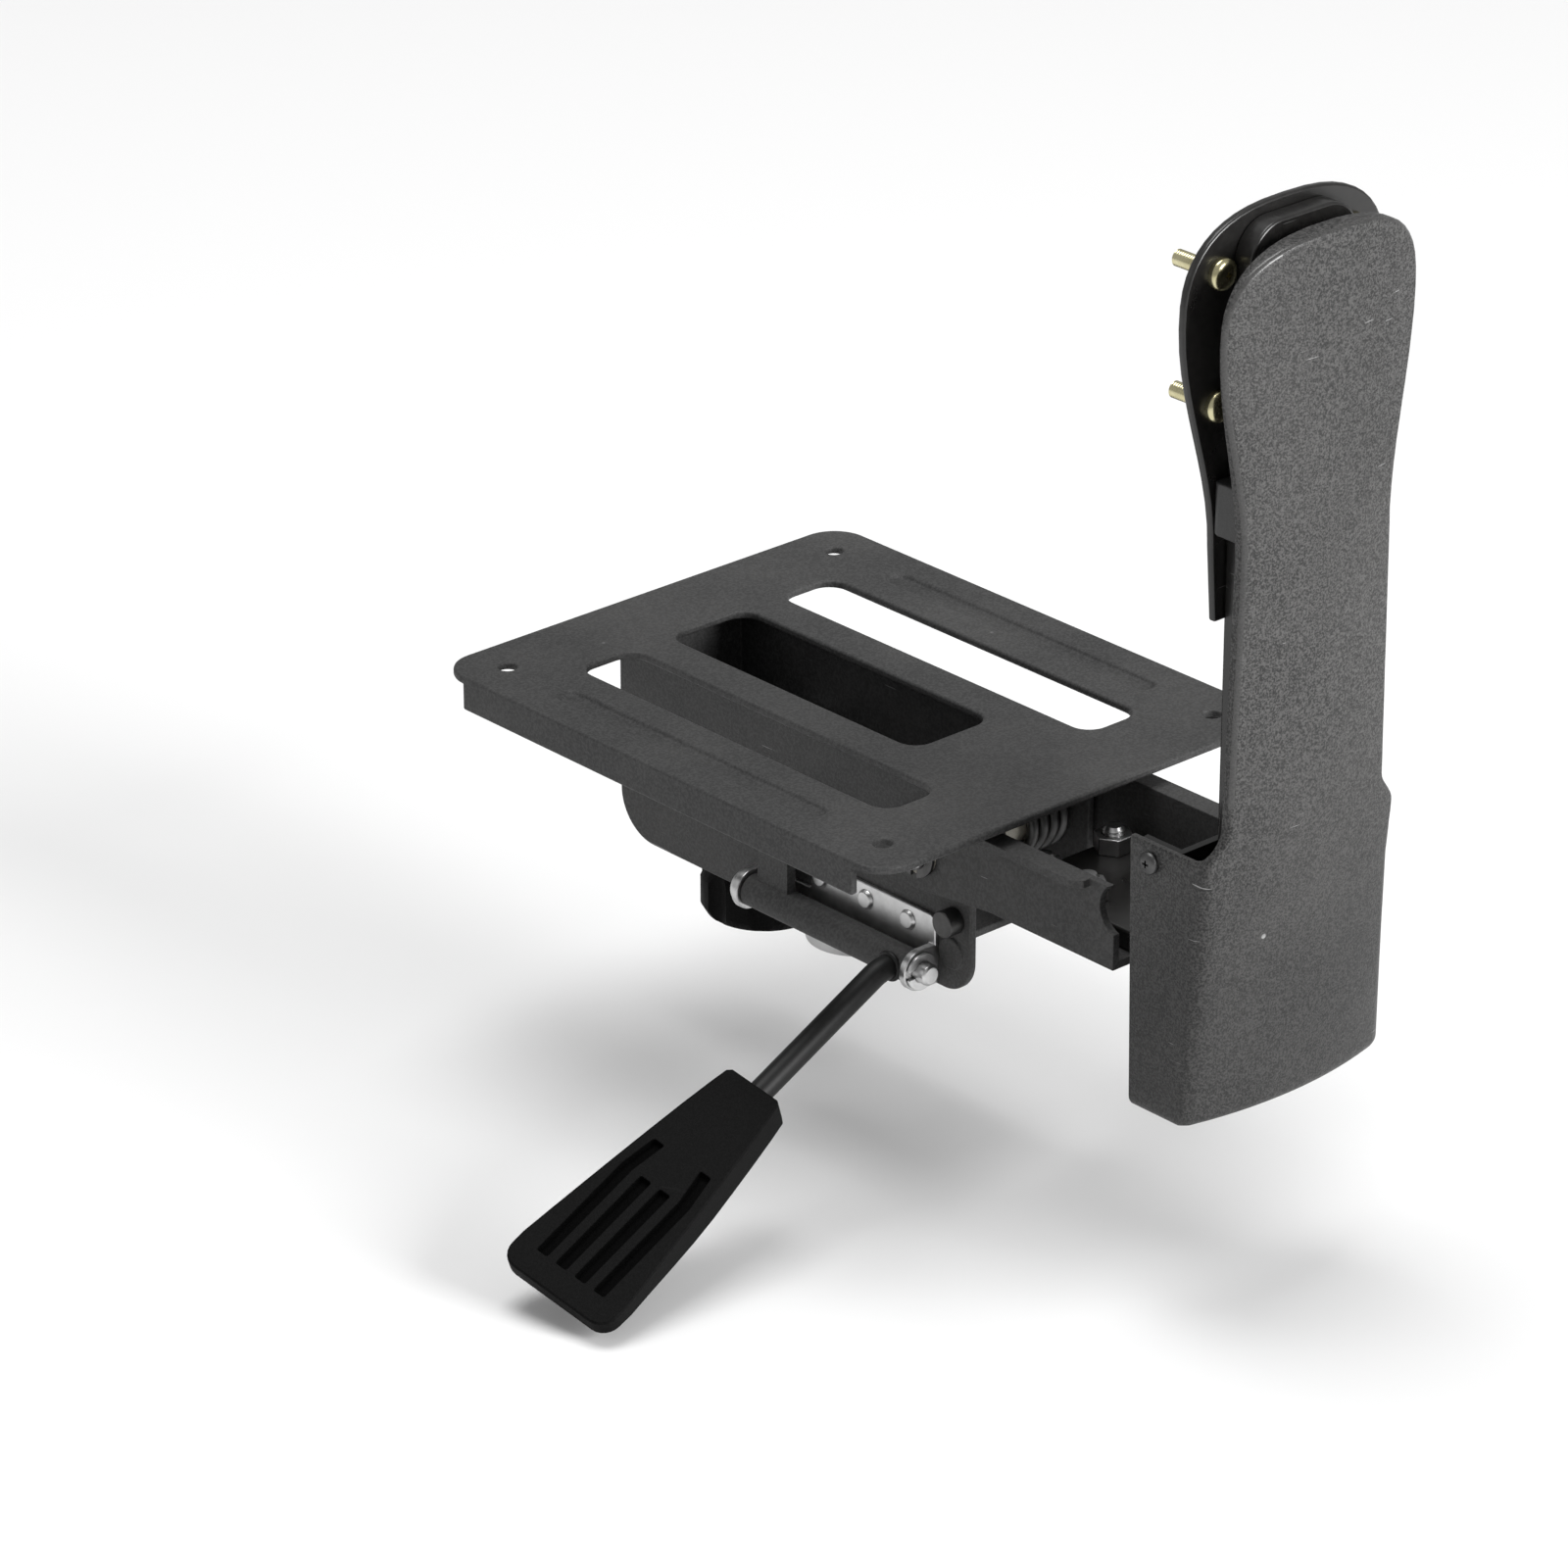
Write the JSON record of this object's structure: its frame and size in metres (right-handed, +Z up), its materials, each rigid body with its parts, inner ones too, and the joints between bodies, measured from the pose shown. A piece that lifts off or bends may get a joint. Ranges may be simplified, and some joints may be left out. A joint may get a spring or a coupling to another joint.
{
  "type": "office chair tilt mechanism",
  "caption": "Under-seat tilt mechanism with a gas column socket, torsion springs, tension knob, height lever and a sprung, covered back upright.",
  "frame": {"origin": "on the gas column axis at the lower mouth of the taper socket", "axes": "+Z up along the gas column, -Y towards the front edge of the seat, +X towards the sitter's left where the lever is"},
  "size_m": [0.3043, 0.3458, 0.4015],
  "materials": {
    "grey_paint": "satin",
    "black_paint": "semi gloss",
    "plain_steel": "turned",
    "zinc": "zinc plated",
    "yellow_zinc": "yellow zinc plated",
    "spring_steel": "blackened",
    "brass": "turned",
    "bearing_plastic": "matte",
    "black_rubber": "matte",
    "black_plastic": "satin moulded",
    "charcoal_plastic": "sand textured"
  },
  "bodies": {
    "base": {"housing": "grey_paint", "gas_socket": "plain_steel", "seat_plate": "grey_paint", "main_shaft": "zinc", "shaft_rings": "spring_steel", "spring_sleeve": "bearing_plastic", "spring_left": "spring_steel", "spring_right": "spring_steel", "lever_bracket": "zinc", "lever_pin": "zinc", "pin_clip": "zinc", "bracket_rivets": "zinc", "stop_pads": "black_rubber", "recline_stops": "spring_steel", "thrust_washer": "zinc"},
    "back": {"back_arm": "grey_paint", "arm_bushes": "bearing_plastic", "back_bar": "black_paint", "arm_bolts": "zinc", "arm_nuts": "zinc", "back_plate": "black_paint", "back_screws": "yellow_zinc", "back_cover": "charcoal_plastic", "cover_strap": "black_paint", "cover_clips": "black_plastic", "cover_screws": "zinc"},
    "lever": {"lever_tube": "grey_paint", "lever_rod": "black_paint", "lever_paddle": "black_plastic"},
    "knob": {"tension_knob": "black_plastic", "knob_insert": "brass"},
    "tension_slide": {"tension_bar": "plain_steel", "tension_bolt": "zinc"}
  },
  "joints": [
    {"name": "back_tilt", "type": "hinge", "parent": "base", "child": "back", "pos_m": [0, 0.07, 0.07], "axis": [-1, 0, 0], "range_deg": [0, 18], "stiffness_Nm_per_rad": 90, "springref_deg": -14.32, "deforming": ["spring_left", "spring_right"]},
    {"name": "lever_lift", "type": "hinge", "parent": "base", "child": "lever", "pos_m": [0.039, 0, 0.0265], "axis": [0, -1, 0], "range_deg": [0, 7]},
    {"name": "knob_turn", "type": "hinge", "parent": "base", "child": "knob", "pos_m": [0, -0.05, 0], "axis": [0, 0, 1], "range_deg": [0, 720]},
    {"name": "tension_travel", "type": "slide", "parent": "base", "child": "tension_slide", "axis": [0, 0, -1], "range_m": [0, 0.006]}
  ],
  "couplings": [
    {"joint": "knob_turn", "follows": "tension_travel", "rad_per_m": 2094.4}
  ]
}
